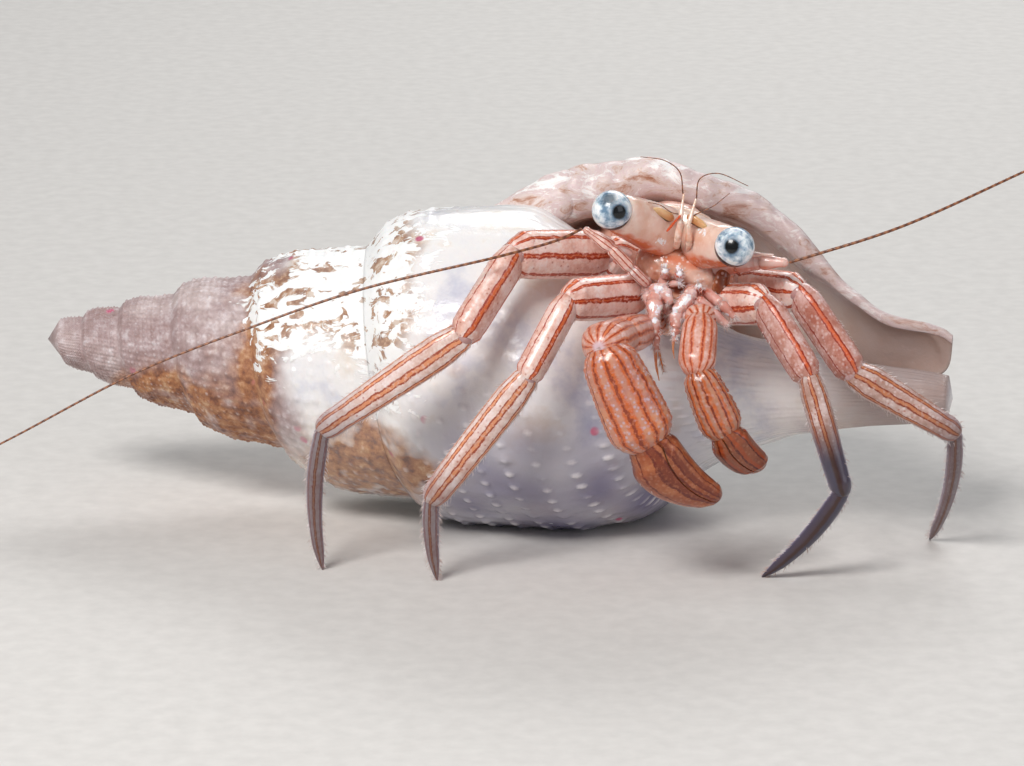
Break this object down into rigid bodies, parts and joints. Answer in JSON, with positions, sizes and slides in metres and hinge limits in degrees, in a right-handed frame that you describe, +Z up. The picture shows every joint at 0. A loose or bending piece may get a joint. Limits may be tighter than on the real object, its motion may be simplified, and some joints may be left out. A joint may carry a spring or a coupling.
{
  "type": "hermit crab",
  "caption": "Still life-size model of a striped hermit crab leaning out of a tall spiral sea snail shell, on four slender walking legs.",
  "frame": {"origin": "on the floor, on the flat under the shell's last whorl", "axes": "+Z up, -Y the way the crab faces, +X to the crab's left: the shell's apex points to -X and its siphonal canal to +X"},
  "size_m": [0.0778, 0.0271, 0.0251],
  "materials": {
    "shell": "glossy, worn and stained",
    "head": "satin, translucent",
    "soft_body": "soft satin",
    "leg": "satin, striped lengthwise",
    "claw": "satin, striped and granular",
    "eye": "polished, marbled",
    "feeler": "satin, banded"
  },
  "bodies": {
    "root": {"shell": "shell", "carapace_shield": "head", "thorax": "head", "carapace_rear": "soft_body", "abdomen_front": "soft_body", "abdomen_middle": "soft_body", "abdomen_rear": "soft_body", "leg_right_outer_hip": "leg", "leg_right_outer_merus": "leg", "leg_right_outer_carpus": "leg", "leg_right_outer_propodus": "leg", "leg_right_outer_dactylus": "leg", "leg_right_inner_hip": "leg", "leg_right_inner_merus": "leg", "leg_right_inner_carpus": "leg", "leg_right_inner_propodus": "leg", "leg_right_inner_dactylus": "leg", "leg_left_inner_hip": "leg", "leg_left_inner_merus": "leg", "leg_left_inner_carpus": "leg", "leg_left_inner_propodus": "leg", "leg_left_inner_dactylus": "leg", "leg_left_outer_hip": "leg", "leg_left_outer_merus": "leg", "leg_left_outer_carpus": "leg", "leg_left_outer_propodus": "leg", "leg_left_outer_dactylus": "leg", "claw_right_hip": "claw", "claw_right_merus": "claw", "claw_right_carpus": "claw", "claw_right_palm": "claw", "claw_right_finger": "claw", "claw_right_fixed_finger": "claw", "claw_left_hip": "claw", "claw_left_merus": "claw", "claw_left_carpus": "claw", "claw_left_palm": "claw", "claw_left_finger": "claw", "claw_left_fixed_finger": "claw", "eyestalk_right": "head", "eye_right": "eye", "eyestalk_left": "head", "eye_left": "eye", "antenna_right_inner": "feeler", "antenna_left_inner": "feeler", "antenna_right_middle": "feeler", "antenna_left_middle": "feeler", "antenna_right_outer": "feeler", "antenna_left_outer": "feeler", "antenna_right_base": "head", "antenna_left_base": "head", "antennule_right_base": "head", "antennule_left_base": "head", "antennule_right_flagellum": "feeler", "antennule_left_flagellum": "feeler", "maxilliped_right": "head", "maxilliped_left": "head", "mouthparts": "head"}
  },
  "joints": []
}
